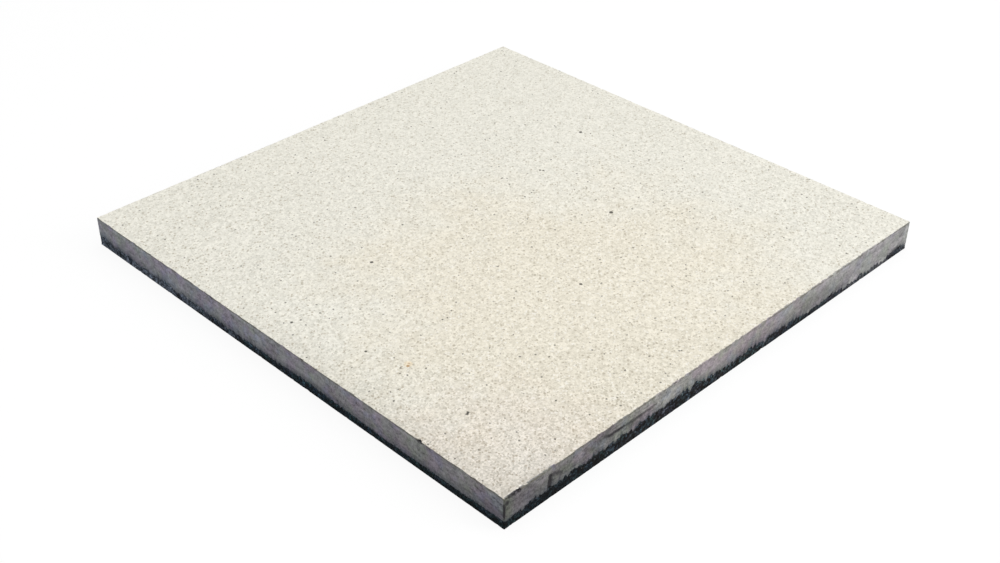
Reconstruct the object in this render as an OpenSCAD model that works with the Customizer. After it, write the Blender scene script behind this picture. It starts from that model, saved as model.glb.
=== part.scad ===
// Square terrazzo tile, pressed in two courses and lying face up.
// The wet face mix is pressed onto a drier mortar backing, and its paste climbs the sides of the mould:
// the finished tile keeps that paste as a thin skin on its sides, with a ragged lower edge.
// The origin is at the middle of the underside, with X and Y along the sides and +Z up to the ground face.

/* [Format] */
// Length of the tile, along X
tile_length = 600; // [300:10:900]
// Width of the tile, along Y
tile_width = 600; // [300:10:900]

/* [Courses] */
// Depth of the terrazzo face course inside the tile
face_depth = 12; // [8:0.5:24]
// Depth of the mortar backing below it
backing_depth = 21; // [17:0.5:40]
// Arris worn on the edges of the ground face
arris = 0.5; // [0.2:0.1:3]

/* [Paste skin] */
// Thickness of the paste skin on the sides
skin = 3; // [1:0.5:10]
// Height of the skin's lower edge above the underside, at each eighth of the front side from its left end
front_edge = [11, 9, 9, 7.5]; // [5:0.5:15]
// The same at each eighth from the middle of the front side
front_edge_end = [8.5, 9, 7, 7]; // [5:0.5:15]
// The same along the right side, from its front end
right_edge = [9, 12.5, 13, 14]; // [5:0.5:15]
// The same from the middle of the right side
right_edge_end = [10.5, 10, 6.5, 5]; // [5:0.5:15]
// The same along the back side, from its right end
back_edge = [7, 8, 9, 8]; // [5:0.5:15]
// The same from the middle of the back side
back_edge_end = [9, 10, 11, 10]; // [5:0.5:15]
// The same along the left side, from its back end
left_edge = [9, 10.5, 12, 11]; // [5:0.5:15]
// The same from the middle of the left side
left_edge_end = [10, 9, 9.5, 10]; // [5:0.5:15]

/* [Tongues] */
// Distance from one tongue of paste to the next
tongue_pitch = 6; // [4:0.5:20]
// Longest tongue below the skin's edge, on the front, right, back and left sides
tongue_drop = [2, 4, 3, 3]; // [0:0.5:4]
// Deepest notch above the skin's edge between two tongues
notch_rise = 1.5; // [0:0.5:2]
// Seed that sets how the tongues are scattered
scatter_seed = 7; // [1:1:99]

/* [Hidden] */

tile_thickness = backing_depth + face_depth;
// Where a cutting form passes through a face of the tile, it runs this far past it
clear = 1;
// The most that a tip or a notch shifts along the side, as a share of the room between two of them
wander = 0.35;
side_lengths = [tile_length, tile_width, tile_length, tile_width];
side_offsets = [tile_width / 2, tile_length / 2, tile_width / 2, tile_length / 2];
edge_heights = concat(
    front_edge, front_edge_end,
    right_edge, right_edge_end,
    back_edge, back_edge_end,
    left_edge, left_edge_end
);
edge_steps = len(edge_heights) / 4;

// A value that leaves a and reaches b without a corner, as t runs from 0 to 1
function eased(a, b, t) = a + (b - a) * (1 - cos(180 * t)) / 2;

// Height of the skin's edge on one side, at a share of the way along it. The four sides form one closed line.
function edge_height(side, share) =
    let (
        place = (side + share) * edge_steps,
        before = floor(place),
        count = len(edge_heights)
    )
    eased(edge_heights[before % count], edge_heights[(before + 1) % count], place - before);

// Outline of the skin's ragged edge along one side: a notch and the tip of a tongue by turns.
// It starts and ends at the edge's own height, so that two sides meet at their corner.
function ragged_edge(side) =
    let (
        length = side_lengths[side],
        tongues = round(length / tongue_pitch),
        steps = 2 * tongues,
        shifts = rands(-wander, wander, steps + 1, scatter_seed + side),
        sizes = rands(0, 1, steps + 1, 2 * scatter_seed + side + 100)
    )
    [
        for (i = [0 : steps])
            let (
                at_end = i == 0 || i == steps,
                share = (i + (at_end ? 0 : shifts[i])) / steps,
                is_tip = i % 2 == 1,
                offset = is_tip ? -tongue_drop[side] * sizes[i] * sizes[i] : notch_rise * sizes[i]
            )
            [length * (share - 0.5), edge_height(side, share) + (at_end ? 0 : offset)]
    ];

// The tile's section across one of its directions, with the arrises of the ground face
module section(width) {
    side = width / 2;
    polygon([
        [-side, 0],
        [side, 0],
        [side, tile_thickness - arris],
        [side - arris, tile_thickness],
        [-side + arris, tile_thickness],
        [-side, tile_thickness - arris]
    ]);
}

// The whole tile, with no division between its courses
module tile_form() {
    intersection() {
        rotate([90, 0, 0])
            linear_extrude(tile_width + 2 * clear, center = true)
                section(tile_length);
        rotate([90, 0, 90])
            linear_extrude(tile_length + 2 * clear, center = true)
                section(tile_width);
    }
}

// Plan of the strip that the skin takes up along one side, mitred to its neighbours at the corners
module mitred_strip(side) {
    reach = side_lengths[side] / 2;
    edge = -side_offsets[side];
    inner = skin + clear;
    polygon([
        [-reach - clear, edge - clear],
        [reach + clear, edge - clear],
        [reach - inner, edge + inner],
        [-reach + inner, edge + inner]
    ]);
}

// Mortar that comes out to one side of the tile, below the ragged edge of the skin
module bare_mortar(side) {
    outline = ragged_edge(side);
    reach = side_lengths[side] / 2 + clear;
    rotate([0, 0, 90 * side])
        intersection() {
            translate([0, -side_offsets[side] + skin + 2 * clear, 0])
                rotate([90, 0, 0])
                    linear_extrude(skin + 4 * clear)
                        polygon(concat(
                            [[-reach, -clear], [-reach, outline[0].y]],
                            outline,
                            [[reach, outline[len(outline) - 1].y], [reach, -clear]]
                        ));
            translate([0, 0, -clear])
                linear_extrude(tile_thickness)
                    mitred_strip(side);
        }
}

// All the room that the mortar takes up, run out past the sides and the underside
module mortar_form() {
    translate([-tile_length / 2 + skin, -tile_width / 2 + skin, -clear])
        cube([tile_length - 2 * skin, tile_width - 2 * skin, backing_depth + clear]);
    for (side = [0 : 3]) bare_mortar(side);
}

// Terrazzo face course, with the paste skin that hangs from it down the sides
module terrazzo_face() {
    color([0.91, 0.89, 0.83])
        difference() {
            tile_form();
            mortar_form();
        }
}

// Mortar backing, level under the face course and flat underneath, where the tile is bedded
module mortar_backing() {
    color([0.16, 0.18, 0.2])
        intersection() {
            tile_form();
            mortar_form();
        }
}

terrazzo_face();
mortar_backing();
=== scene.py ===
"""Terrazzo floor tile: a ground face of cream grains, pressed over a dark mortar backing.

The face mix climbs the mould's four sides as a thin grey skin, and the mortar shows below its ragged
lower edge.
"""

import bisect
import functools
import math

import bmesh
import bpy
from mathutils import Matrix, Vector, noise


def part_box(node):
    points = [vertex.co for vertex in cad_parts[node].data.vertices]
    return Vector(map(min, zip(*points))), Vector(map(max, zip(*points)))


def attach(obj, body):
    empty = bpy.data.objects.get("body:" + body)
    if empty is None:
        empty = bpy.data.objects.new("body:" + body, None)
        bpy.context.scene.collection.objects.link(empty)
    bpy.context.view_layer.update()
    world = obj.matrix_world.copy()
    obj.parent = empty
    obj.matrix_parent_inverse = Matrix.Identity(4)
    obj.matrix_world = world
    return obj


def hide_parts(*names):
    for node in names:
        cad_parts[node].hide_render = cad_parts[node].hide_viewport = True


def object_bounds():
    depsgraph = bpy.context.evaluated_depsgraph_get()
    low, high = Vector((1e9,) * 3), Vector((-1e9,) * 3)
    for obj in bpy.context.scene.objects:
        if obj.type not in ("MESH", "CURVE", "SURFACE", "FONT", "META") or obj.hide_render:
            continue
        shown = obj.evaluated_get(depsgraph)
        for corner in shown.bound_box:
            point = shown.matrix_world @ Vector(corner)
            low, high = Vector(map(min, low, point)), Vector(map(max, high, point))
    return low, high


bl_info = {
    "name": "Terrazzo Floor Tile",
    "version": (1, 0, 0),
    "blender": (4, 5, 0),
    "location": "View3D > Sidebar > Terrazzo",
    "description": "Builds a pressed terrazzo floor tile on its packed frame",
    "category": "Add Mesh",
}

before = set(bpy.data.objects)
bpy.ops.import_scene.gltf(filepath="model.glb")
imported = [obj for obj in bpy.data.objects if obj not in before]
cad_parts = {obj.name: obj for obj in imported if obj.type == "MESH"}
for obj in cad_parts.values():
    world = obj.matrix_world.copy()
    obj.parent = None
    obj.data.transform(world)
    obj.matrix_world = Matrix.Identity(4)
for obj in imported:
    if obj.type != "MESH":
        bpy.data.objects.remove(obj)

MM = 0.001
CAD_BOX = [list(corner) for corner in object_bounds()]
LOW, HIGH = (Vector(corner) for corner in CAD_BOX)
FACE = HIGH.z  # level of the ground face
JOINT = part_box("mortar_backing")[1][2]  # level of the hidden joint between the two courses
BACKING = "mortar_backing"

# The planes that the materials measure from, in millimetres
TOP, RIGHT, BACK, FRONT = FACE / MM, HIGH.x / MM, HIGH.y / MM, LOW.y / MM

# Each side runs anticlockwise, seen from above: its first corner as signs of x and y, the way along it and
# the way in.
SIDES = {
    "front": ((-1, -1), (1, 0), (0, 1)),
    "right": ((1, -1), (0, 1), (-1, 0)),
    "back": ((1, 1), (-1, 0), (0, -1)),
    "left": ((-1, 1), (0, -1), (1, 0)),
}

# Broken places in the skin and arris of each side, in millimetres: distance along it, depth below the face,
# half length along, half height, and how deep the break goes in.
CHIPS = {
    "right": (
        (2.5, 0.0, 1.6, 1.2, 1.0), (5.5, 0.2, 1.5, 1.6, 1.2), (9.0, 0.6, 2.0, 2.4, 1.7),
        (12.0, 0.0, 1.6, 1.2, 1.1), (15.5, 0.8, 2.6, 2.6, 2.2), (31.0, 0.0, 2.0, 0.8, 0.7),
        (1.5, 7.5, 2.4, 1.0, 1.2), (588.0, 1.0, 1.2, 0.8, 0.6), (214.0, 0.0, 2.0, 0.9, 0.7),
        (372.0, 0.0, 1.6, 0.8, 0.6),
    ),
    "front": (
        (499.0, 0.8, 2.4, 2.6, 1.7), (202.0, 1.2, 1.6, 1.2, 0.8), (3.0, 0.0, 2.2, 1.0, 0.9),
        (98.0, 0.0, 2.0, 0.9, 0.7), (341.0, 0.0, 2.2, 0.9, 0.7), (566.0, 0.0, 1.8, 0.9, 0.7),
    ),
    "back": (
        (152.0, 0.4, 2.4, 1.8, 1.4), (431.0, 0.0, 1.8, 1.0, 0.9),
    ),
    "left": (
        (268.0, 0.3, 2.0, 1.6, 1.2), (540.0, 0.0, 1.6, 0.9, 0.8),
    ),
}

# Scores and stains drawn on the skin of each side, in millimetres: start along and depth, end along and
# depth, half width, how dark (1 is the marks' full dark colour), and how deep it is scored.
SCORES = {
    "right": (
        (54.4, 9.0, 53.8, 14.0, 2.15, 1.2, 0.45), (53.8, 14.0, 53.0, 20.0, 2.2, 1.2, 0.5),
        (54.4, 8.8, 61.0, 10.2, 2.2, 0.74, 0.25), (61.0, 10.2, 67.0, 13.2, 2.1, 0.68, 0.25),
        (120.5, 6.8, 126.0, 9.2, 1.7, 0.75, 0.2), (126.0, 9.8, 146.0, 10.0, 1.5, 1.0, 0.3),
        (146.0, 10.4, 168.0, 10.6, 1.3, 0.75, 0.2), (168.0, 10.6, 189.0, 10.0, 1.2, 0.7, 0.2),
        (584.0, 11.0, 590.0, 6.5, 1.0, 0.5, 0.1), (2.4, 6.0, 3.4, 6.2, 2.1, 1.0, 0.2),
        (0.2, 8.0, 2.0, 6.6, 1.4, 1.0, 0.1), (0.6, 8.0, 0.6, 19.0, 0.9, 1.0, 0.1),
        (5.6, 1.2, 10.6, 1.2, 1.2, 0.8, 0.0), (11.5, 1.4, 18.5, 1.4, 1.3, 1.0, 0.0),
        (24.0, 2.6, 27.0, 2.8, 1.2, 0.35, 0.0),
    ),
    "front": (
        (599.3, 7.5, 599.3, 20.5, 1.0, 1.0, 0.1), (235.0, 5.5, 237.5, 6.5, 1.5, 0.6, 0.1),
        (201.0, 1.5, 203.0, 2.0, 1.2, 0.6, 0.0), (497.5, 1.6, 501.0, 1.0, 1.4, 0.95, 0.0),
        (23.0, 11.0, 26.0, 12.0, 1.5, 0.4, 0.1),
    ),
    "back": (
        (330.0, 10.5, 371.0, 11.6, 0.7, 0.5, 0.2),
    ),
    "left": (
        (120.0, 9.0, 122.0, 17.0, 1.0, 0.45, 0.2),
    ),
}

# Broad pale and dark patches of each side, in millimetres: distance along it, depth below the face, half
# length, half height, and how much lighter (above 0) or darker (below 0) the middle is.
PATCHES = {
    "right": (
        (7, 8, 8, 14, -0.10), (30, 14, 18, 7, -0.14), (46, 4, 9, 7, 0.28), (64, 0, 18, 5, 0.12),
        (87, 6, 9, 9, 0.30), (100, 2, 8, 5, 0.22), (130, 4, 9, 6, -0.14), (152, 3, 9, 6, 0.14),
        (20, 20, 18, 4, 0.25), (95, 20, 30, 4, 0.45), (133, 17, 18, 4, 0.45), (166, 13, 24, 4, -0.28),
        (176, 4, 12, 5, 0.12), (211, 17, 16, 5, 0.50), (238, 16, 9, 6, 0.30), (408, 9, 30, 14, -0.09),
        (446, 17, 22, 10, -0.24), (404, 23, 26, 4, -0.22), (472, 23, 14, 4, -0.30),
        (556, 16, 34, 6, 0.09), (583, 17, 9, 5, 0.24), (593, 12, 5, 9, 0.22), (584, 6, 3, 2, -0.28),
        (427, 29, 13, 5, 0.45), (500, 28, 10, 6, 0.60), (548, 29, 15, 5, 0.60), (579, 29, 13, 6, -1.00),
    ),
    "front": (
        (584, 18, 26, 4, -0.34), (548, 18, 14, 4, -0.20), (3, 29, 6, 6, 0.40), (13, 28, 5, 4, -0.70),
        (50, 27, 8, 4, -0.40), (98, 27, 20, 6, 0.50), (355, 22, 34, 3, -0.20), (412, 10, 34, 12, 0.10),
    ),
    "back": (
        (210, 13, 40, 8, -0.15), (470, 9, 30, 8, 0.15),
    ),
    "left": (
        (90, 12, 30, 8, 0.15), (420, 14, 36, 7, -0.18),
    ),
}

# Places where the arris of each side is worn down, in millimetres: distance along it, half length, how far in
# and how deep.
WORN = {
    "right": (
        (6, 12, 3.2, 0.55), (24, 18, 3.4, 0.5), (46, 18, 3.0, 0.45), (140, 44, 2.2, 0.3),
        (270, 110, 2.2, 0.28), (440, 110, 2.7, 0.28), (570, 60, 1.7, 0.22),
    ),
    "front": (
        (592, 12, 2.4, 0.18), (440, 40, 1.6, 0.12),
    ),
    "back": (
        (250, 60, 1.8, 0.25),
    ),
    "left": (
        (400, 70, 1.8, 0.25),
    ),
}

# Places where the skin's lower edge rises or drops by itself on each side, in millimetres: distance along it,
# half width and change.
EDGE_TURNS = {
    "right": (
        (6, 8, -0.8), (30, 12, 1.0), (35, 7, 1.2), (44, 5, -1.0), (61, 7, -1.6), (82, 9, 1.0),
        (97, 6, -2.0), (109, 5, 1.2), (122, 6, -1.2), (145, 8, 1.2), (160, 6, -1.2), (168, 3, 1.6),
        (180, 7, 1.2), (200, 6, -1.8), (212, 5, 1.0), (229, 7, 3.0), (238, 3.5, -4.2), (262, 6, -1.0),
        (247, 7, 3.5), (290, 16, -1.0), (330, 12, 2.0), (350, 9, -2.0), (420, 14, -2.0), (463, 12, 2.4),
        (476, 10, 1.2), (487, 5, -3.0), (501, 8, -1.2), (514, 8, 2.5), (538, 14, 1.4), (555, 10, -1.5),
        (581, 16, 2.0),
    ),
    "front": (
        (10, 14, 1.0), (30, 9, -2.0), (55, 10, 1.2), (78, 8, -1.5), (98, 12, -1.6), (118, 9, 1.5),
        (140, 10, -2.0), (210, 14, 1.0), (335, 25, 1.0), (356, 26, 0.8), (512, 40, 0.5),
    ),
}

# The few dark and rusty grains that the grinding has opened in the face, and the pale glints painted beside
# the chips at the front corner, in millimetres from its centre: x, y and radius. The rusty ones lie in a
# faint warm halo.
DARK_GRAINS = (
    (-73, 199, 2.0),
    (-45, 102, 1.3),
    (-42, 104, 1.3),
    (69, 91, 2.2),
    (137, -31, 1.7),
    (-35, -151, 1.8),
    (201, -245, 1.4),
    (202, -247, 1.4),
    (73, -251, 1.4),
    (-10, -271, 1.5),
)
RUST_GRAINS = ((116, -238, 1.6), (114, -235, 1.3))
RUST_HALO = ((114, -236, 4.2),)
PAINTED_GLINTS = ((298, -292, 1.2), (298, -283, 1.1), (297, -279, 1.3))


def length_setting(name, description, default, least, most):
    """A length of the tile as a property, its values in millimetres."""
    return bpy.props.FloatProperty(
        name=name,
        description=description,
        default=default * MM,
        min=least * MM,
        max=most * MM,
        subtype="DISTANCE",
        unit="LENGTH",
    )


def colour_setting(name, description, default):
    """A colour as a property."""
    return bpy.props.FloatVectorProperty(
        name=name, description=description, subtype="COLOR", default=default, min=0, max=1
    )


def power_setting(name, description, default):
    """A lamp's power in watts as a property."""
    return bpy.props.FloatProperty(
        name=name, description=description, default=default, min=0, max=500, subtype="POWER", unit="POWER"
    )


class TileShape(bpy.types.PropertyGroup):
    """Sizes of the skin, the mortar and their worn edges."""

    column_pitch: length_setting("Column pitch", "Spacing of the mesh columns along each side", 1.0, 0.5, 5)
    skin_thickness: length_setting("Skin thickness", "Thickness of the paste skin on the sides", 3.0, 1.0, 10)
    arris: length_setting("Arris", "Width of the eased edge round the ground face", 0.4, 0.1, 3)
    corner_radius: length_setting("Corner radius", "Rounding of the four vertical corners", 0.7, 0.1, 3)
    fray: length_setting("Fray", "Fine raggedness added to the skin's lower edge", 0.9, 0, 3)
    recess: length_setting("Mortar recess", "How far the mortar's face sits back from the skin", 0.45, 0, 2)
    crumble: length_setting(
        "Crumble", "Depth of the broken places along the mortar's bottom edge", 0.7, 0, 3
    )


class TileFinish(bpy.types.PropertyGroup):
    """Colours of the ground face, the skin and the mortar."""

    face_colour: colour_setting("Face", "Cream of the ground grains and their cement", (0.86, 0.828, 0.722))
    fleck_colour: colour_setting("Flecks", "Grey-beige of the scattered darker grains", (0.44, 0.385, 0.285))
    white_colour: colour_setting("White grains", "The palest grains", (0.98, 0.95, 0.87))
    dark_colour: colour_setting("Dark grains", "The few nearly black grains", (0.05, 0.047, 0.036))
    rust_colour: colour_setting("Rusty grains", "Orange of the two rusty grains", (0.47, 0.27, 0.11))
    skin_colour: colour_setting("Skin", "Grey of the paste skin on the sides", (0.36, 0.352, 0.372))
    # The dark colour of the scores' stains, and of the darkened hollows of the chips
    dark_mark_colour: colour_setting(
        "Stain", "Colour in the scores, chips and damp places of the skin", (0.019, 0.017, 0.020)
    )
    mortar_colour: colour_setting("Mortar", "Blue-black of the backing", (0.016, 0.030, 0.041))


class TileStage(bpy.types.PropertyGroup):
    """Surround, lamps and floor."""

    world_strength: bpy.props.FloatProperty(
        name="Ambient", description="Strength of the plain surround", default=0.42, min=0, max=5
    )
    overhead_power: power_setting("Overhead lamp", "Power of the broad lamp above the tile", 24.0)
    side_power: power_setting("Side lamp", "Power of the soft lamp beyond the right side", 65.0)
    floor_colour: colour_setting("Floor", "Pale floor", (0.55, 0.55, 0.55))


# ---------------------------------------------------------------- sides


def corner_of(side):
    """First corner of a side, and the unit directions along it and in from it."""
    signs, along, inward = SIDES[side]
    corner = Vector((HIGH.x if signs[0] > 0 else LOW.x, HIGH.y if signs[1] > 0 else LOW.y))
    return corner, Vector(along), Vector(inward)


def side_length(side):
    """Length of a side in metres."""
    return abs((HIGH - LOW).xy.dot(Vector(SIDES[side][1])))


def place(side, along, inward, height):
    """The point that far along a side, in from its plane and above the underside."""
    corner, way, into = corner_of(side)
    flat = corner + way * along + into * inward
    return Vector((flat.x, flat.y, height))


def on_side(side, point):
    """How far along a side a point lies, and how far in."""
    corner, way, into = corner_of(side)
    offset = point.xy - corner
    return offset.dot(way), offset.dot(into)


def skin_edge(side):
    """The skin's lower edge on one side as sorted (along, height) points, from the frame's mortar."""
    points = set()
    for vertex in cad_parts[BACKING].data.vertices:
        along, inward = on_side(side, vertex.co)
        if abs(inward) < 1e-5 and vertex.co.z > LOW.z + 1e-4:
            points.add((round(along, 6), round(vertex.co.z, 6)))
    if len(points) < 2:
        raise RuntimeError(f"the frame's mortar has no edge on the {side} side")
    return sorted(points)


def height_on(edge, along):
    """Height of an edge's line at a distance along it."""
    k = min(max(bisect.bisect(edge, (along,)), 1), len(edge) - 1)
    (a, low), (b, high) = edge[k - 1], edge[k]
    share = min(max((along - a) / max(b - a, 1e-9), 0), 1)
    return low + (high - low) * share


def wave(point, size, seed=0):
    """Smooth noise from -1 to 1 with bumps of about that size in metres."""
    return noise.noise(point / size + Vector((seed, seed * 1.7, seed * 0.3)))


def by_side(marks):
    """Each mark with its side, in order."""
    return [(side, mark) for side, found in marks.items() for mark in found]


def ease(share):
    """Smooth step from 0 to 1."""
    share = min(max(share, 0), 1)
    return share * share * (3 - 2 * share)


def stations(length, pitch):
    """Distances along a side: close together at its corners and evenly spaced between them."""
    near = [0, 0.2 * MM, 0.45 * MM, 0.8 * MM, 1.2 * MM]
    start = 2 * MM
    count = max(round((length - 2 * start) / pitch), 1)
    even = [start + (length - 2 * start) * k / count for k in range(count + 1)]
    return near + even + [length - d for d in reversed(near)]


def calmness(side, along):
    """How smooth the skin's edge runs there: it loses its teeth on the front side toward the front corner."""
    start, run = 380 * MM, 120 * MM
    return 0.65 * ease((along - start) / run) if side == "front" else 0.0


def frayed(side, edge, along, fray):
    """Height of the skin's edge at a place, with its fine fray."""
    point = place(side, along, 0, 0)
    fine = 0.6 * wave(point, 1.7 * MM, 3) + 0.5 * wave(point, 0.9 * MM, 8)
    rough = 0.5 + 0.5 * wave(point, 35 * MM, 5)
    calm = calmness(side, along)
    turns = sum(
        change * MM * (1 - ease(abs(along / MM - middle) / width))
        for middle, width, change in EDGE_TURNS.get(side, ())
    )
    line = height_on(edge, along)
    if calm > 0:
        beside = [height_on(edge, along + shift * MM) for shift in range(-9, 10, 3)]
        line += (sum(beside) / len(beside) - line) * calm
    lowest = LOW.z + 1.2 * MM
    return max(line + turns + fray * fine * (0.6 + 0.8 * rough) * (1 - calm), lowest)


# ---------------------------------------------------------------- meshes


def strip(bm, side, profiles):
    """One side's band of faces: a grid with a column at each station and a row at each profile point."""
    columns, rows = len(profiles) - 1, len(profiles[0][1]) - 1
    length = side_length(side)
    made = bmesh.ops.create_grid(bm, x_segments=columns, y_segments=rows, size=0.5)
    for vertex in made["verts"]:
        column = round((vertex.co.x + 0.5) * columns)
        row = round((vertex.co.y + 0.5) * rows)
        station, points = profiles[column]
        inward, height = points[row]
        along = inward + station / length * (length - 2 * inward)
        vertex.co = place(side, along, inward, height)
    return made["verts"]


def chart(bm, layer, level, hidden_inward, broad_share, rows, strip_top):
    """Lays the map out: the broad face over the full width, below it each side in so many rows, and what is
    hidden in a corner. A row shows its side from the underside up to strip_top."""
    size = HIGH - LOW
    gap, hidden_height = 0.006, 0.022
    level_slack = 0.6 * MM
    pitch = (1 - broad_share - hidden_height) / (4 * rows)
    for face in bm.faces:
        flat = abs(face.normal.z) > 0.7 and all(abs(v.co.z - level) < level_slack for v in face.verts)
        middle = face.calc_center_median()
        k = nearest_side(middle)
        side = list(SIDES)[k]
        length = side_length(side)
        along, reach = on_side(side, middle)
        row = min(int(along / length * rows), rows - 1)
        for loop in face.loops:
            point = loop.vert.co
            across = (point.x - LOW.x) / size.x
            up = (point.y - LOW.y) / size.y
            if flat:
                loop[layer].uv = (gap + across * (1 - 2 * gap), 1 - broad_share + up * (broad_share - gap))
            elif reach > hidden_inward:
                loop[layer].uv = (0.9 + 0.09 * across, 0.005 + 0.012 * up)
            else:
                share = on_side(side, point)[0] / length * rows - row
                height = min((point.z - LOW.z) / strip_top, 1) * (pitch - gap)
                loop[layer].uv = (
                    gap + share * (1 - 2 * gap),
                    hidden_height + (k * rows + row) * pitch + height,
                )


def nearest_side(point):
    """Index of the side whose plane a point is nearest to."""
    return min(range(4), key=lambda k: on_side(list(SIDES)[k], point)[1])


def close_openings(bm):
    """Fills the open loops that are left, each with one flat face."""
    open_edges = [edge for edge in bm.edges if edge.is_boundary]
    bmesh.ops.holes_fill(bm, edges=open_edges, sides=0)
    bmesh.ops.recalc_face_normals(bm, faces=bm.faces)


def round_corners(bm, radius):
    """Rounds the vertical corners by drawing the vertices outside the radius in to it."""
    centre = (LOW + HIGH) / 2
    half = (HIGH - LOW) / 2
    for vertex in bm.verts:
        offset = vertex.co - centre
        over = Vector((abs(offset.x) - half.x + radius, abs(offset.y) - half.y + radius))
        if over.x > 0 and over.y > 0 and over.length > radius:
            over *= radius / over.length
            vertex.co.x = centre.x + math.copysign(half.x - radius + over.x, offset.x)
            vertex.co.y = centre.y + math.copysign(half.y - radius + over.y, offset.y)


def press_in(bm, depth_at, reach):
    """Moves the vertices near each side plane inwards by depth_at(point), fading out over reach."""
    for vertex in bm.verts:
        point = vertex.co.copy()
        for side in SIDES:
            inward = on_side(side, point)[1]
            if inward < reach:
                depth = depth_at(point) * (1 - ease(inward / reach))
                vertex.co.xy += Vector(SIDES[side][2]) * depth


def wear_down(bm, worn):
    """Lowers the top of the sides where the arris is worn, raggedly, fading out inwards and downwards."""
    far_in, far_down = 6 * MM, 4
    for side in SIDES:
        for vertex in bm.verts:
            along, inward = on_side(side, vertex.co)
            below = (FACE - vertex.co.z) / MM
            if inward > far_in or below > far_down:
                continue
            ragged = 1 + 1.1 * wave(vertex.co, 3.2 * MM, 61) + 0.7 * wave(vertex.co, 1.4 * MM, 62)
            drop = 0
            for middle, length, width, depth in worn.get(side, ()):
                near = 1 - ease((abs(along / MM - middle) / length - 0.6) / 0.8)
                drop = max(drop, depth * near * ragged * (1 - ease(inward / MM / width)))
            vertex.co.z -= drop * (1 - ease(below / far_down)) * MM


def break_out(bm, chips, layer):
    """Scoops the chips out: a vertex inside one moves in, and down, on to the break's ragged surface."""
    largest = 8 * MM
    for side, (along, depth, length, height, inward) in by_side(chips):
        middle = place(side, along * MM, 0, FACE - depth * MM)
        into = Vector((*SIDES[side][2], -1.0 if depth < height else 0.0)).normalized()
        for vertex in bm.verts:
            offset = vertex.co - middle
            if offset.length > largest:
                continue
            ragged = 1 + 0.6 * wave(vertex.co, 1.3 * MM, 21)
            s = offset.xy.dot(Vector(SIDES[side][1])) / (length * MM * ragged)
            d = offset.xy.dot(Vector(SIDES[side][2])) / (inward * MM * ragged)
            h = offset.z / (height * MM * ragged)
            if s * s + d * d + h * h >= 1:
                continue
            # How far the vertex goes along into: the root of a quadratic whose terms are a, b and c
            step_d = into.xy.length / (inward * MM * ragged)
            step_h = into.z / (height * MM * ragged)
            a = step_d**2 + step_h**2
            b = d * step_d + h * step_h
            c = s * s + d * d + h * h - 1
            vertex.co += into * ((-b + math.sqrt(b * b - a * c)) / a)
            # The hollow of a chip is darkened toward the same dark colour as the scores
            vertex[layer] = max(vertex[layer], 0.55 + 0.4 * wave(vertex.co, 2.0 * MM, 22))


def score(bm, scores, layer):
    """Draws the scores: darkens the vertices near each line and presses them in."""
    drawn = by_side(scores)
    for vertex in bm.verts:
        for side, (along, depth, end_along, end_depth, width, dark, deep) in drawn:
            s, inward = on_side(side, vertex.co)
            near_top = FACE - vertex.co.z <= 2 * MM
            if inward > (3 * MM if near_top else 0.9 * MM):
                continue
            point = Vector((s, FACE - vertex.co.z)) / MM
            start, end = Vector((along, depth)), Vector((end_along, end_depth))
            run = end - start
            share = min(max((point - start).dot(run) / run.length_squared, 0), 1)
            away = (point - start - run * share).length
            away += 0.5 * width * wave(vertex.co, 2.2 * MM, 11)
            near = 1 - ease((away / width - 0.6) / 0.85)
            if near > 0:
                vertex[layer] = max(vertex[layer], dark * near)
                vertex.co.xy += Vector(SIDES[side][2]) * deep * MM * near


def shade_sides(bm, patches, layer):
    """Gives the vertices of the sides the lightness of the broad patches they lie in."""
    for side in SIDES:
        for vertex in bm.verts:
            s, inward = on_side(side, vertex.co)
            if inward > 1.5 * MM:
                continue
            depth = FACE - vertex.co.z
            wobble = 0.35 * wave(vertex.co, 5 * MM, 51)
            for along, middle, length, height, change in patches.get(side, ()):
                away = math.hypot((s / MM - along) / length, (depth / MM - middle) / height) + wobble
                vertex[layer] += change * (1 - ease((away - 0.4) / 0.9))


def finish_mesh(bm, name, material, node):
    """Makes the piece's object, hides the frame part that it stands for, and hangs it on the root body."""
    for face in bm.faces:
        face.smooth = True
    mesh = bpy.data.meshes.new(name)
    bm.to_mesh(mesh)
    bm.free()
    mesh.set_sharp_from_angle(angle=math.radians(50))
    mesh.materials.append(material)
    piece = bpy.data.objects.new(name, mesh)
    bpy.context.scene.collection.objects.link(piece)
    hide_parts(node)
    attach(piece, "root")


def side_shares(count):
    """Shares from 0 to 1 down a side, a little closer together at both ends."""
    steps = [k / count for k in range(count + 1)]
    return [0.6 * step + 0.4 * (0.5 - 0.5 * math.cos(math.pi * step)) for step in steps]


def course_profile(edge, skin, arris):
    """The face course's section at one place as (inward, height) points, from inside the ground face, down
    the skin and in at the joint."""
    top = FACE - arris
    points = [(d * MM, FACE) for d in (7, 5, 3.6, 2.6, 1.8, 1.2, 0.8)]
    points += [(arris, FACE), (0.3 * arris, FACE - 0.25 * arris)]
    points += [(0, top + (edge + 0.5 * MM - top) * share) for share in side_shares(15)]
    points += [(0.1 * MM, edge + 0.12 * MM), (0.4 * MM, edge), (1.1 * MM, edge + 0.1 * MM)]
    points += [(skin, edge + 0.3 * MM), (skin, JOINT)]
    return points


def backing_profile(edge, skin):
    """The mortar's section at one place as (inward, height) points, from under the tile, up its face and in
    behind the skin."""
    points = [(d * MM, LOW.z) for d in (8, 5, 3, 1.8, 1.0, 0.4)]
    points += [(0.1 * MM, LOW.z + 0.1 * MM), (0, LOW.z + 0.4 * MM)]
    low = LOW.z + 0.9 * MM
    points += [(0, low + (edge + 0.25 * MM - low) * share) for share in side_shares(9)]
    points += [(1.4 * MM, edge + 0.3 * MM), (skin, edge + 0.3 * MM), (skin, JOINT)]
    return points


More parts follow.
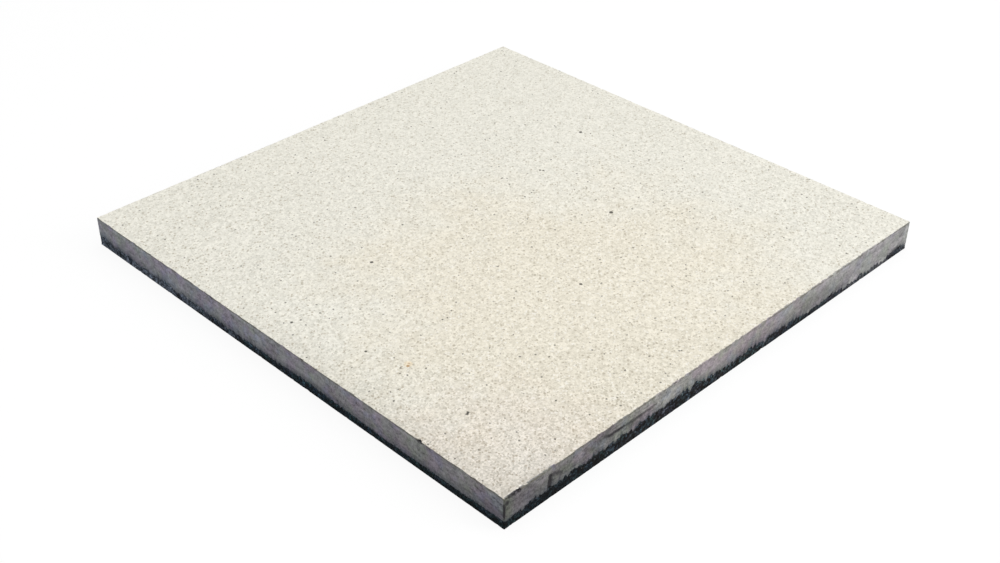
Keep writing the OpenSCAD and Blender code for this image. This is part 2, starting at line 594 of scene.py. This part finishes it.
def build_band(bm, shape, profile_at, layer, sign):
    """The band of faces round the four sides. Its layer gets the distance above the skin's edge, or with a
    sign of -1 the distance below it, in millimetres."""
    for side in SIDES:
        edge = skin_edge(side)
        length = side_length(side)
        profiles = []
        for station in stations(length, shape.column_pitch):
            profiles.append((station, profile_at(frayed(side, edge, station, shape.fray))))
        for vertex in strip(bm, side, profiles):
            along = on_side(side, vertex.co)[0]
            height = frayed(side, edge, min(max(along, 0), length), shape.fray)
            vertex[layer] = max(sign * (vertex.co.z - height), 0) / MM
    bmesh.ops.remove_doubles(bm, verts=bm.verts, dist=0.02 * MM)


def build_course(shape):
    """The face course as one closed mesh: ground face, eased arris, skin and joint."""
    bm = bmesh.new()
    above_edge = bm.verts.layers.float.new("above_edge")
    dark_marks = bm.verts.layers.float.new("dark_marks")
    patch = bm.verts.layers.float.new("patch")
    layer = bm.loops.layers.uv.new("OFBake")
    build_band(bm, shape, lambda edge: course_profile(edge, shape.skin_thickness, shape.arris), above_edge, 1)
    close_openings(bm)
    chart(bm, layer, FACE, hidden_inward=0.8 * MM, broad_share=0.81, rows=1, strip_top=FACE - LOW.z)
    round_corners(bm, shape.corner_radius)

    def hollows(point):
        """Slow unevenness, a fine grain and the worn arris of the skin."""
        slow = 0.10 + 0.10 * wave(point, 40 * MM, 1)
        fine = 0.04 + 0.04 * wave(point, 3 * MM, 2)
        below = (FACE - point.z) / MM
        worn = 0.9 * max(wave(point, 9 * MM, 4), 0) + 0.5 * max(wave(point, 2.6 * MM, 6), 0)
        return (slow + fine + worn * (1 - ease(below / 1.8))) * MM

    press_in(bm, hollows, 1.5 * MM)
    wear_down(bm, WORN)
    break_out(bm, CHIPS, dark_marks)
    score(bm, SCORES, dark_marks)
    shade_sides(bm, PATCHES, patch)
    return bm


def build_backing(shape):
    """The mortar backing as one closed mesh: rough underside, coarse face and the part behind the skin."""
    bm = bmesh.new()
    below_edge = bm.verts.layers.float.new("below_edge")
    patch = bm.verts.layers.float.new("patch")
    layer = bm.loops.layers.uv.new("OFBake")
    build_band(bm, shape, lambda edge: backing_profile(edge, shape.skin_thickness), below_edge, -1)
    underside(bm)
    close_openings(bm)
    behind_skin = shape.skin_thickness - 0.3 * MM
    chart(bm, layer, LOW.z, hidden_inward=behind_skin, broad_share=0.42, rows=2, strip_top=18 * MM)
    round_corners(bm, shape.corner_radius)

    def pits(point):
        """Granular unevenness of the mortar's face, with open places between its grains."""
        slow = 0.5 + 0.5 * wave(point, 9 * MM, 31)
        grains = abs(wave(point, 2.3 * MM, 32)) + 0.6 * abs(wave(point, 1.1 * MM, 33))
        foot = 1 - ease((point.z - LOW.z) / (3.0 * MM))
        crumbs = ease(2.4 * wave(point, 7 * MM, 34) - 0.5) * foot
        face = shape.recess * (0.25 + 0.6 * slow + 0.9 * grains) * (1 - 0.9 * foot)
        return face + foot * 0.12 * MM * grains + shape.crumble * crumbs * grains

    shade_sides(bm, PATCHES, patch)
    press_in(bm, pits, 2.5 * MM)
    foot_height = LOW.z + 1.2 * MM
    for vertex in bm.verts:
        if vertex.co.z < foot_height:
            near = min(on_side(side, vertex.co)[1] for side in SIDES)
            lift = 0.5 + 0.5 * wave(vertex.co, 14 * MM, 41) + 0.5 * wave(vertex.co, 4 * MM, 42)
            edge_lift = 1 - ease(near / (4 * MM))
            crumb = max(1.6 * wave(vertex.co, 5.0 * MM, 43) - 0.6, 0) * shape.crumble * 0.5
            inside = 0.15 * MM * lift * ease((near - 1 * MM) / (6 * MM))
            vertex.co.z = max(vertex.co.z + inside + edge_lift * crumb, LOW.z)
    return bm


def underside(bm):
    """Adds the middle of the underside as a coarse grid and joins it to the band round it."""
    open_edges = [edge for edge in bm.edges if edge.is_boundary]
    rim = [edge for edge in open_edges if all(abs(v.co.z - LOW.z) < 1e-6 for v in edge.verts)]
    margin, pitch = 13 * MM, 5 * MM
    size = HIGH - LOW - Vector((2 * margin, 2 * margin, 0))
    across, up = round(size.x / pitch), round(size.y / pitch)
    shift = Matrix.Translation(((LOW.x + HIGH.x) / 2, (LOW.y + HIGH.y) / 2, LOW.z))
    stretch = Matrix.Diagonal((size.x, size.y, 1, 1))
    made = bmesh.ops.create_grid(bm, x_segments=across, y_segments=up, size=0.5, matrix=shift @ stretch)
    edges = {edge for vertex in made["verts"] for edge in vertex.link_edges if edge.is_boundary}
    bmesh.ops.triangle_fill(bm, use_beauty=True, edges=rim + list(edges), normal=(0, 0, -1))


# ---------------------------------------------------------------- shaders


class Shade:
    """A shader socket that sums work on: each sum on values adds its Math node to the same tree."""

    def __init__(self, tree, socket=None):
        self.tree = tree
        self.socket = socket

    def node(self, kind, settings=None, sockets=None):
        """Adds a node and gives its first output. Its settings go in before its sockets' values or links."""
        made = self.tree.nodes.new(kind)
        for name, value in (settings or {}).items():
            setattr(made, name, value)
        for name, value in (sockets or {}).items():
            found = [s for s in made.inputs if s.enabled and name in (s.identifier, s.name)]
            if isinstance(value, Shade):
                self.tree.links.new(value.socket, found[0])
            elif found[0].type == "RGBA":
                found[0].default_value = (*value[:3], 1)
            else:
                found[0].default_value = value
        outputs = [s for s in made.outputs if s.enabled]
        return Shade(self.tree, outputs[0] if outputs else None)

    def out(self, name):
        """Another output of the same node."""
        return Shade(self.tree, self.socket.node.outputs[name])

    def attribute(self, name):
        """The value that the mesh carries on its vertices under a name."""
        return self.node("ShaderNodeAttribute", {"attribute_name": name}).out("Fac")

    def millimetres(self):
        """The place on the tile, in millimetres."""
        return self.node("ShaderNodeTexCoord").out("Object").scaled(1000.0)

    def maths(self, operation, *values):
        """One Math node on the values given."""
        made = self.node("ShaderNodeMath", {"operation": operation})
        for socket, value in zip(made.socket.node.inputs, values):
            if isinstance(value, Shade):
                self.tree.links.new(value.socket, socket)
            else:
                socket.default_value = value
        return made

    def __add__(self, other):
        return self.maths("ADD", self, other)

    def __sub__(self, other):
        return self.maths("SUBTRACT", self, other)

    def __mul__(self, other):
        return self.maths("MULTIPLY", self, other)

    def __radd__(self, other):
        return self.maths("ADD", other, self)

    def __rsub__(self, other):
        return self.maths("SUBTRACT", other, self)

    def __rmul__(self, other):
        return self.maths("MULTIPLY", other, self)

    def __rpow__(self, other):
        return self.maths("POWER", other, self)

    def most(self, other):
        """The larger of two values."""
        return self.maths("MAXIMUM", self, other)

    def least(self, other):
        """The smaller of two values."""
        return self.maths("MINIMUM", self, other)

    def above(self, low, high):
        """0 below low, 1 above high, and smooth between them."""
        return self.node(
            "ShaderNodeMapRange",
            {"interpolation_type": "SMOOTHSTEP"},
            {"Value": self, "From Min": low, "From Max": high},
        )

    def below(self, low, high):
        """1 below low, 0 above high, and smooth between them."""
        return 1 - self.above(low, high)

    def blend(self, one, other):
        """Colour one where this value is 0, and other where it is 1."""
        return self.node(
            "ShaderNodeMix", {"data_type": "RGBA"}, {"Factor_Float": self, "A_Color": one, "B_Color": other}
        )

    def scaled(self, amount):
        """This colour or vector times a value."""
        return self.node("ShaderNodeVectorMath", {"operation": "SCALE"}, {"Vector": self, "Scale": amount})

    def tinted(self, tint, mask, elsewhere=(1, 1, 1)):
        """This colour times a tint where the mask is 1, and times another one elsewhere."""
        sockets = {"Vector": self, "Vector_001": mask.blend(elsewhere, tint)}
        return self.node("ShaderNodeVectorMath", {"operation": "MULTIPLY"}, sockets)

    def lighter(self, amount, shares=(1, 1, 1)):
        """This colour with an amount added, in those shares, to its three channels."""
        return self.node(
            "ShaderNodeVectorMath",
            {"operation": "MULTIPLY_ADD"},
            {"Vector": amount, "Vector_001": shares, "Vector_002": self},
        )

    def distance(self, point):
        """Distance of this vector from a point."""
        sockets = {"Vector": self, "Vector_001": point}
        return self.node("ShaderNodeVectorMath", {"operation": "DISTANCE"}, sockets).out("Value")

    def noise(self, size, detail=2.0, roughness=0.5):
        """Noise with bumps of about that size, in this vector's unit."""
        sockets = {"Vector": self, "Scale": 1 / size, "Detail": detail, "Roughness": roughness}
        return self.node("ShaderNodeTexNoise", None, sockets)

    def cells(self, size):
        """Cells of about that size: the distance to each one's middle, and a random colour for each."""
        return self.node("ShaderNodeTexVoronoi", None, {"Vector": self, "Scale": 1 / size})

    def jostled(self, amount):
        """This vector pushed about by up to half that amount, so that the cells on it get uneven outlines."""
        push = {"Vector": self.noise(1.6, 1.0).out("Color"), "Vector_001": (0.5, 0.5, 0.5)}
        centred = self.node("ShaderNodeVectorMath", {"operation": "SUBTRACT"}, push)
        sockets = {"Vector": centred, "Vector_001": (amount,) * 3, "Vector_002": self}
        return self.node("ShaderNodeVectorMath", {"operation": "MULTIPLY_ADD"}, sockets)

    def turned(self, location=(0, 0, 0), scale=(1, 1, 1), angle=0.0):
        """This vector through a Mapping node, with an angle in degrees about the vertical."""
        turn = (0, 0, math.radians(angle))
        sockets = {"Vector": self, "Location": location, "Scale": scale, "Rotation": turn}
        return self.node("ShaderNodeMapping", None, sockets)

    def parts(self):
        """The three numbers of a vector or colour."""
        split = self.node("ShaderNodeSeparateXYZ", None, {"Vector": self})
        return split.out("X"), split.out("Y"), split.out("Z")


# Base of the powers that lighten and darken the mortar from place to place
GROWTH = 2.718


def new_material(name):
    """An empty material and a Shade to build it with."""
    material = bpy.data.materials.new(name)
    material.use_nodes = True
    material.node_tree.nodes.clear()
    return material, Shade(material.node_tree)


def surface(start, colour, roughness, height, depth, specular=0.35):
    """Ends a material: one Principled shader, with a Bump of that height in millimetres on its normal."""
    bump = start.node("ShaderNodeBump", None, {"Strength": 1.0, "Distance": depth * MM, "Height": height})
    sockets = {"Base Color": colour, "Roughness": roughness, "Normal": bump, "Specular IOR Level": specular}
    shader = start.node("ShaderNodeBsdfPrincipled", None, sockets)
    start.node("ShaderNodeOutputMaterial", None, {"Surface": shader})


def spot_mask(mm, grains, rough):
    """1 inside the listed spots of the face: its grains, and its painted glints."""
    masks = []
    for x, y, radius in grains:
        away = mm.distance((x, y, TOP)) + rough * 1.6 - 0.8
        masks.append(away.below(radius - 0.35, radius + 0.25))
    return functools.reduce(Shade.most, masks)


def toned(colour, *shares):
    """A colour with each channel times its share."""
    return [channel * share for channel, share in zip(colour, shares)]


def round_the_sides(mm):
    """Millimetres round the tile from its front corner, and 1 on the right side's face."""
    x, y, _ = mm.parts()
    from_corner = y - x + (HIGH.x - LOW.y) / MM
    on_right = x.above(RIGHT - 1.8, RIGHT - 0.9)
    return from_corner, on_right


def near_side(mm):
    """1 near the tile's sides, and 0 further in."""
    x, y, _ = mm.parts()
    out_x = x.maths("ABSOLUTE", x) - RIGHT
    out_y = y.maths("ABSOLUTE", y) - BACK
    return out_x.most(out_y).above(-9, -3)


def ground_finish(mm, finish):
    """Colour, roughness and height of the ground face: packed grains of three sizes, and a few dark ones."""
    from_corner = round_the_sides(mm)[0]
    bent = mm.jostled(1.3).turned(angle=45).turned(scale=(0.95, 1.02, 1))
    small, medium, large = bent.cells(1.6), bent.cells(2.6), bent.turned((7, 3, 1)).cells(4.4)
    tone_small = small.out("Color").parts()[0]
    tone_medium, pick_medium, pick_white = medium.out("Color").parts()
    pick_dark = large.out("Color").parts()[2]
    inside_small, inside_large = small.below(0.3, 0.5), large.below(0.22, 0.3)
    inside = medium.below(0.38, 0.56)
    fine = mm.noise(0.9)
    clouds = mm.noise(70.0, 2.0, 0.55)
    patches = mm.turned((40, 10, 0)).noise(26.0, 1.0)

    # The cement is warmer in the middle of the tile, and its grain livelier and finer toward the front corner
    warm = (mm.distance((150, -60, TOP)) + (clouds - 0.5) * 220 + (patches - 0.5) * 90).below(110, 300)
    cream = finish.face_colour
    base = warm.blend(toned(cream, 0.995, 1.01, 1.03), toned(cream, 1.0, 0.977, 0.94))
    finer = from_corner.below(60, 330)
    lively = 0.94 + finer * 0.28 - from_corner.above(600, 1000) * 0.18
    fine_lift = ((tone_small - 0.5) * 0.19 + (fine - 0.5) * 0.12) * (1 + 0.4 * finer)
    lift = (fine_lift + (tone_medium - 0.5) * 0.20 * (1 - 0.55 * finer)) * lively
    lift = lift + (clouds - 0.5) * 0.04 + (patches - 0.5) * 0.02
    # Painted shade: the face darkens toward the front corner, as if farther from the lamps
    lift = lift - from_corner.below(40, 420) * 0.045 - from_corner.below(40, 220) * 0.03
    base = base.lighter(lift, (1.0, 0.965, 0.88))

    # White grains, then flecks of three sizes, then the scattered dark dots
    small_whites = inside_small * tone_small.above(0.84, 0.95) * 0.6
    whites = (inside * pick_white.above(0.80, 0.95) * 0.8).most(small_whites)
    base = whites.blend(base, finish.white_colour)
    small_flecks = inside_small * tone_small.below(0.03, 0.15) * (0.45 + 0.25 * finer)
    flecks = (inside * pick_medium.above(0.74, 1.0) * (0.74 - 0.14 * finer)).most(small_flecks)
    base = (flecks * lively).blend(base, finish.fleck_colour)
    large_flecks = inside_large * pick_dark.above(0.935, 0.998) * 0.9
    base = large_flecks.blend(base, toned(finish.fleck_colour, 0.36, 0.36, 0.36))
    dots = large.below(0.28, 0.38) * (pick_dark + 0.005 * finer).above(0.973, 0.986)
    base = (dots * 0.85).blend(base, finish.dark_colour)

    # Grime beside the front and right sides, and the rubbed strip along the worn arris
    x, y, _ = mm.parts()
    corner = mm.distance((RIGHT, FRONT, TOP)) + (patches - 0.5) * 60
    base = base.tinted((1.005, 0.975, 0.982), corner.below(70, 190))
    near_front = y.below(FRONT + 7, FRONT + 32) * (0.12 + from_corner.below(250, 420) * 0.45)
    near_right = x.above(RIGHT - 24, RIGHT - 6) * from_corner.below(40, 130) * 0.85
    darkening = near_front.most(near_right).most(corner.below(10, 60)) * (0.75 + 0.5 * mm.noise(5.0))
    base = base.tinted((0.895, 0.89, 0.885), darkening)
    rubbed = x.above(RIGHT - 9, RIGHT - 3) * from_corner.below(48, 72) * (0.35 + mm.noise(4.0))
    base = base.tinted((0.885, 0.88, 0.875), rubbed)

    # The grains that are placed one by one, and the painted glints beside the front corner's chips
    rough = mm.noise(1.0, 1.0)
    base = (spot_mask(mm, DARK_GRAINS, rough) * 0.95).blend(base, finish.dark_colour)
    base = base.tinted((1.04, 0.97, 0.87), spot_mask(mm, RUST_HALO, rough))
    base = (spot_mask(mm, RUST_GRAINS, rough) * 0.5).blend(base, finish.rust_colour)
    base = (spot_mask(mm, RUST_GRAINS[:1], rough) * 0.75).blend(base, finish.rust_colour)
    # Painted highlights: pale glints on the face beside the front corner's chips
    base = (spot_mask(mm, PAINTED_GLINTS, rough) * 0.9).blend(base, finish.white_colour)
    return base, 0.62 - 0.05 * tone_medium, 0.15 * fine + 0.10 * tone_medium


def skin_finish(mm, finish):
    """Colour, roughness and height of the paste skin: mottled, smeared lengthways, dark at its lower edge."""
    from_corner, on_right = round_the_sides(mm)
    depth = TOP - mm.parts()[2]
    smear = mm.turned(scale=(0.06, 0.06, 1.0)).noise(2.6)
    mottle = mm.noise(16.0, 3.0, 0.6)
    dabs = mm.turned(scale=(0.6, 0.6, 1.0)).noise(4.0, 3.0, 0.6)
    speck = mm.noise(1.9, 2.0, 0.6)
    broad = mm.turned((20, -30, 7)).noise(45.0, 1.0)
    swing = (mottle - 0.5) * 0.8 + (smear - 0.5) * 0.6 + (dabs - 0.5) * 1.9 + (speck - 0.5) * 1.8
    calm = 1 - 0.28 * on_right * from_corner.above(190, 260) - 0.12 * (1 - on_right)
    shade = 1.0 + swing * calm + (broad - 0.5) * 0.5

    # The grey is darker on the front side than on the right, painted shade, and has its own tone toward each
    # corner, with violet, olive and blue patches; lower down the sides it is painted darker still
    grey = finish.skin_colour
    # Painted shade: the front side's grey is a darker copy of the right side's, as for a side turned from the
    # lamps
    front = from_corner.above(120, 420).blend(toned(grey, 0.86, 0.85, 0.87), toned(grey, 0.98, 1.0, 1.06))
    right = from_corner.above(330, 520)
    right = right.blend(toned(grey, 1.015, 0.985, 0.925), toned(grey, 1.04, 1.055, 0.985))
    plain = on_right.blend(front, right)
    violet = mm.turned((15, 60, 5)).noise(22.0).above(0.42, 0.62)
    skin = plain.tinted((1.04, 0.955, 1.04), violet, elsewhere=(0.99, 1.025, 0.97))
    skin = skin.tinted((0.97, 1.03, 0.91), mm.turned((-35, 20, 9)).noise(13.0).above(0.5, 0.7))
    skin = skin.tinted((0.95, 1.0, 1.11), mm.turned((3, -50, 12)).noise(15.0).above(0.52, 0.68))
    fewer = on_right * from_corner.above(330, 440).most(from_corner.below(30, 60)) * 0.45
    skin = fewer.blend(skin, plain)
    skin = skin.scaled(shade * (1.0 + mm.attribute("patch")))
    # Painted shade: the skin darker below its top few millimetres, most in the middle of the right side
    shaded = 0.08 + 0.13 * on_right * from_corner.above(230, 330) * from_corner.below(420, 520)
    skin = skin.scaled(1.03 - depth.above(3.0, 17.0) * shaded)

    # Darker toward the front corner on the right side, partly grime and partly painted shade, and an olive
    # line of grinding slurry under the arris
    darkening = (from_corner + (mottle - 0.5) * 60).below(90, 200) * 0.68
    darkening = on_right * (darkening + (from_corner + (mottle - 0.5) * 90).below(150, 330) * 0.10)
    skin = skin.tinted((0.33, 0.335, 0.355), darkening)
    skin = skin.tinted((0.93, 1.0, 0.86), on_right * from_corner.below(6, 12))
    olive = depth.above(0.1, 0.5) * depth.below(0.9, 2.6) * mm.noise(7.0).above(0.3, 0.6)
    skin = (olive * 0.7).blend(skin, (0.15, 0.14, 0.10))

    # Damp and mortar dust above the lower edge, then the scores and chips
    rim = mm.attribute("above_edge")
    dry = 1 - on_right * (from_corner.above(300, 560) * 0.7 + from_corner.below(120, 220) * 0.35)
    damp = rim.below(0.0, 9.5) * (0.35 + 0.9 * mm.noise(10.0)) * dry
    skin = (damp * 0.62).blend(skin, (0.030, 0.042, 0.066))
    ragged = rim.below(0.0, 3.4) * mm.turned(scale=(1, 1, 0.45)).noise(1.7).above(0.46, 0.62)
    skin = (ragged * 0.8).blend(skin, finish.mortar_colour)
    skin = (mm.attribute("dark_marks") * (0.7 + 0.6 * speck)).blend(skin, finish.dark_mark_colour)
    return skin, 0.82 + (speck - 0.5) * 0.2, 0.7 * speck + 0.6 * dabs + 0.4 * mottle


def face_material(finish):
    """Ground terrazzo on top, and the grey paste skin wherever the surface is below the ground face."""
    material, start = new_material("terrazzo")
    mm = start.millimetres()
    ground = mm.parts()[2].above(TOP - 0.22, TOP - 0.10)
    top_colour, top_roughness, top_height = ground_finish(mm, finish)
    colour, roughness, height = skin_finish(mm, finish)
    colour = ground.blend(colour, top_colour)
    roughness = top_roughness * ground + roughness * (1 - ground)
    height = top_height * ground + height * (1 - ground)
    surface(start, colour, roughness, height, 0.25)
    return material


def mortar_material(finish):
    """Coarse dark mortar: sand grains and open pores, with pale paste smeared over the sides' far ends."""
    material, start = new_material("mortar")
    mm = start.millimetres()
    from_corner, on_right = round_the_sides(mm)
    flank = near_side(mm)
    front = flank * (1 - on_right)
    bent = mm.jostled(1.4)
    grains, fine_grains = bent.cells(2.8), bent.cells(1.3)
    tone, pick, other = grains.out("Color").parts()
    fine_tone = fine_grains.out("Color").parts()[0]
    clouds, lumps = mm.noise(12.0, 3.0, 0.6), mm.noise(4.0)

    # How far each place swings from the mortar's own tone, as a power of GROWTH
    swing = (tone - 0.5) * 1.7 + (fine_tone - 0.5) * 1.1 + (clouds - 0.5) * 3.4 + (lumps - 0.5) * 3.4 - 0.22
    gritty = 1 - on_right * from_corner.above(250, 400)
    swing = swing + ((tone - 0.5) * 0.7 + (fine_tone - 0.5) * 1.0 - 0.2) * gritty
    near_corner = from_corner.below(130, 230)
    swing = swing * (1 + on_right * (from_corner.below(250, 400) * 0.4 + near_corner * 0.15))
    swing = swing - on_right * near_corner * 0.12
    swing = swing.least(1.5 + from_corner.above(150, 300) * 2)

    black = finish.mortar_colour
    teal = mm.turned((5, 9, 2)).noise(24.0).above(0.40, 0.60)
    violet = mm.turned((-8, 30, 4)).noise(17.0).above(0.52, 0.66)
    colour = teal.blend(toned(black, 0.95, 0.95, 1.08), toned(black, 0.95, 1.08, 0.95))
    colour = violet.blend(colour, toned(black, 1.4, 0.93, 1.05)).scaled(GROWTH**swing)
    colour = colour.tinted((1.0, 0.88, 0.74), swing.above(0.3, 2.0))
    warm = on_right * from_corner.above(40, 150)
    colour = colour.lighter(warm * (0.4 + tone), (0.014, 0.009, 0.006))

    # Damp places, then the sand grains, the open pores and the dark foot
    wet = on_right * from_corner.above(-6, 22) * from_corner.below(50, 130) * clouds.below(0.5, 0.8)
    colour = colour.tinted((0.36, 0.37, 0.34), wet)
    damp_right = on_right * from_corner.above(40, 110) * from_corner.below(140, 260)
    damp = front * from_corner.below(60, 200) * 1.3 + damp_right
    colour = colour.tinted((0.66, 0.68, 0.66), damp)
    sand = grains.below(0.25, 0.42) * pick.above(0.84, 0.92)
    colour = (sand * 0.4).blend(colour, (0.17, 0.175, 0.17))
    pores = fine_grains.above(0.4, 0.7) * other.above(0.4, 0.7)
    colour = (pores * 0.75).blend(colour, (0.002, 0.003, 0.004))
    foot = (TOP - mm.parts()[2] - 1.6 * on_right).above(27.5, 31.5) * clouds.above(0.30, 0.52)
    colour = colour.tinted((0.5, 0.5, 0.5), foot)

    # Paste dragged down from the skin's edge, and smeared over the mortar away from the front corner
    paste = finish.skin_colour
    drag = mm.attribute("below_edge").below(0.2, 3.2)
    drag = drag * mm.turned(scale=(1, 1, 0.4)).noise(1.6).above(0.48, 0.64)
    colour = (drag * 0.5).blend(colour, toned(paste, 0.45, 0.47, 0.5))
    along_front = front * (from_corner.above(230, 470) * 0.33 + from_corner.above(470, 600) * 0.05)
    along_right = on_right * (from_corner.above(380, 570) * 0.34 - from_corner.below(210, 320) * 0.06)
    laid = mm.noise(7.0, 3.0, 0.6) + along_front + along_right + (1 - flank) * 0.15
    laid = laid + mm.attribute("patch") * 0.25
    smeared = (laid - 0.28).above(0.42, 0.58) * (0.6 + 0.5 * fine_tone) * 0.8
    smear = on_right.blend(toned(paste, 0.40, 0.47, 0.56), toned(paste, 0.39, 0.41, 0.43))
    colour = smeared.blend(colour, smear.scaled(GROWTH ** (swing * 0.55)))
    colour = colour.tinted((0.86, 0.98, 1.05), front * from_corner.below(260, 360))
    colour = colour.tinted((1.11, 1.13, 1.16), front * from_corner.above(280, 400))
    height = 0.6 * grains.below(0.1, 0.7) + 0.5 * fine_grains.below(0.1, 0.7) + 0.4 * lumps
    surface(start, colour, 0.92 - 0.1 * tone, height, 0.6, 0.12)
    return material


# ---------------------------------------------------------------- operators


class TERRAZZO_OT_face_course(bpy.types.Operator):
    """Builds the ground face and the paste skin down the sides"""

    bl_idname = "terrazzo.face_course"
    bl_label = "Face course"

    def execute(self, context):
        settings = context.scene
        material = face_material(settings.terrazzo_finish)
        bm = build_course(settings.terrazzo_shape)
        finish_mesh(bm, "face_course", material, "terrazzo_face")
        return {"FINISHED"}


class TERRAZZO_OT_backing(bpy.types.Operator):
    """Builds the dark mortar backing"""

    bl_idname = "terrazzo.backing"
    bl_label = "Mortar backing"

    def execute(self, context):
        settings = context.scene
        material = mortar_material(settings.terrazzo_finish)
        bm = build_backing(settings.terrazzo_shape)
        finish_mesh(bm, "backing_course", material, BACKING)
        return {"FINISHED"}


# Where the camera stands, in metres from the middle of the tile and above its face, and how it is turned, in
# degrees: round from the front side, down to the tile, and about its own line of sight
CAMERA_PLACE, CAMERA_HEIGHT = (0.8914, -0.9016), 0.7843
CAMERA_HEADING, CAMERA_DIP, CAMERA_ROLL = 44.828, 34.225, 0.374
CAMERA_LENS, CAMERA_SENSOR = 51.43, 36  # millimetres
FLOOR_REACH = 8  # metres from the middle of the tile


def camera_ray(start):
    """1 for what the camera, a mirror or clear glass sees."""
    path = start.node("ShaderNodeLightPath")
    return path.out("Is Camera Ray").most(path.out("Is Glossy Ray")).most(path.out("Is Transmission Ray"))


def floor_material(colour):
    """Pale floor that the camera sees near white, with a faint shadow under the tile."""
    material, start = new_material("floor")
    plain = start.node("ShaderNodeBsdfDiffuse", None, {"Color": colour})
    glow = start.node("ShaderNodeEmission", None, {"Color": (1, 1, 1), "Strength": 1.15})
    seen = camera_ray(start)
    mixed = start.node("ShaderNodeMixShader", None, {"Fac": seen * 0.78, "Shader": plain, "Shader_001": glow})
    start.node("ShaderNodeOutputMaterial", None, {"Surface": mixed})
    return material


def add_lamp(name, power, size, location, target):
    """A rectangular soft lamp that faces its target."""
    lamp = bpy.data.lights.new(name, "AREA")
    lamp.shape = "RECTANGLE"
    lamp.size, lamp.size_y = size
    lamp.energy = power
    holder = bpy.data.objects.new(name, lamp)
    holder.location = location
    holder.rotation_euler = (Vector(target) - Vector(location)).to_track_quat("-Z", "Y").to_euler()
    bpy.context.scene.collection.objects.link(holder)


class TERRAZZO_OT_stage(bpy.types.Operator):
    """Sets up the floor, the lamps, the surround and the camera"""

    bl_idname = "terrazzo.stage"
    bl_label = "Stage"

    def execute(self, context):
        scene = context.scene
        stage = scene.terrazzo_stage
        scene.view_settings.view_transform = "Standard"

        bm = bmesh.new()
        bmesh.ops.create_grid(bm, x_segments=1, y_segments=1, size=FLOOR_REACH)
        mesh = bpy.data.meshes.new("floor")
        bm.to_mesh(mesh)
        bm.free()
        mesh.materials.append(floor_material(stage.floor_colour))
        floor = bpy.data.objects.new("floor", mesh)
        floor.location.z = LOW.z - 0.05 * MM
        scene.collection.objects.link(floor)

        world = bpy.data.worlds.new("surround")
        world.use_nodes = True
        world.node_tree.nodes.clear()
        start = Shade(world.node_tree)
        seen = camera_ray(start)
        dim_sockets = {"Color": (1, 1, 1), "Strength": stage.world_strength}
        dim = start.node("ShaderNodeBackground", None, dim_sockets)
        white = start.node("ShaderNodeBackground", None, {"Color": (1, 1, 1), "Strength": 1.0})
        mixed = start.node("ShaderNodeMixShader", None, {"Fac": seen, "Shader": dim, "Shader_001": white})
        start.node("ShaderNodeOutputWorld", None, {"Surface": mixed})
        scene.world = world

        add_lamp("overhead", stage.overhead_power, size=(2.4, 2.4), location=(0, 0, 2.2), target=(0, 0, 0))
        side_place = {"location": (3.0, 2.1, 1.72), "target": (0.2, 0.1, 0)}
        add_lamp("beyond_right", stage.side_power, size=(1.8, 2.4), **side_place)

        camera = bpy.data.cameras.new("camera")
        camera.sensor_width = CAMERA_SENSOR
        camera.lens = CAMERA_LENS
        holder = bpy.data.objects.new("camera", camera)
        holder.location = (*CAMERA_PLACE, CAMERA_HEIGHT + FACE)
        heading = Matrix.Rotation(math.radians(CAMERA_HEADING), 3, "Z")
        tilt = Matrix.Rotation(math.radians(90 - CAMERA_DIP), 3, "X")
        roll = Matrix.Rotation(math.radians(CAMERA_ROLL), 3, "Z")
        holder.rotation_euler = (heading @ tilt @ roll).to_euler()
        scene.collection.objects.link(holder)
        scene.camera = holder
        return {"FINISHED"}


class TERRAZZO_PT_sidebar(bpy.types.Panel):
    """Lists the tile's pieces and its stage"""

    bl_label = "Terrazzo Tile"
    bl_idname = "TERRAZZO_PT_sidebar"
    bl_space_type = "VIEW_3D"
    bl_region_type = "UI"
    bl_category = "Terrazzo"

    def draw(self, context):
        column = self.layout.column()
        scene = context.scene
        for group in (scene.terrazzo_shape, scene.terrazzo_finish, scene.terrazzo_stage):
            for name in type(group).__annotations__:
                column.prop(group, name)
        for operator in OPERATORS:
            column.operator(operator.bl_idname)


OPERATORS = (TERRAZZO_OT_face_course, TERRAZZO_OT_backing, TERRAZZO_OT_stage)
CLASSES = (TileShape, TileFinish, TileStage, *OPERATORS, TERRAZZO_PT_sidebar)


def register():
    """Makes the settings, the operators and the panel known to Blender."""
    for kind in CLASSES:
        bpy.utils.register_class(kind)
    bpy.types.Scene.terrazzo_shape = bpy.props.PointerProperty(type=TileShape)
    bpy.types.Scene.terrazzo_finish = bpy.props.PointerProperty(type=TileFinish)
    bpy.types.Scene.terrazzo_stage = bpy.props.PointerProperty(type=TileStage)


def unregister():
    """Takes them away again."""
    del bpy.types.Scene.terrazzo_stage
    del bpy.types.Scene.terrazzo_finish
    del bpy.types.Scene.terrazzo_shape
    for kind in reversed(CLASSES):
        bpy.utils.unregister_class(kind)


def main():
    """Builds the tile and its stage."""
    register()
    bpy.ops.terrazzo.face_course()
    bpy.ops.terrazzo.backing()
    bpy.ops.terrazzo.stage()


if __name__ == "__main__":
    main()
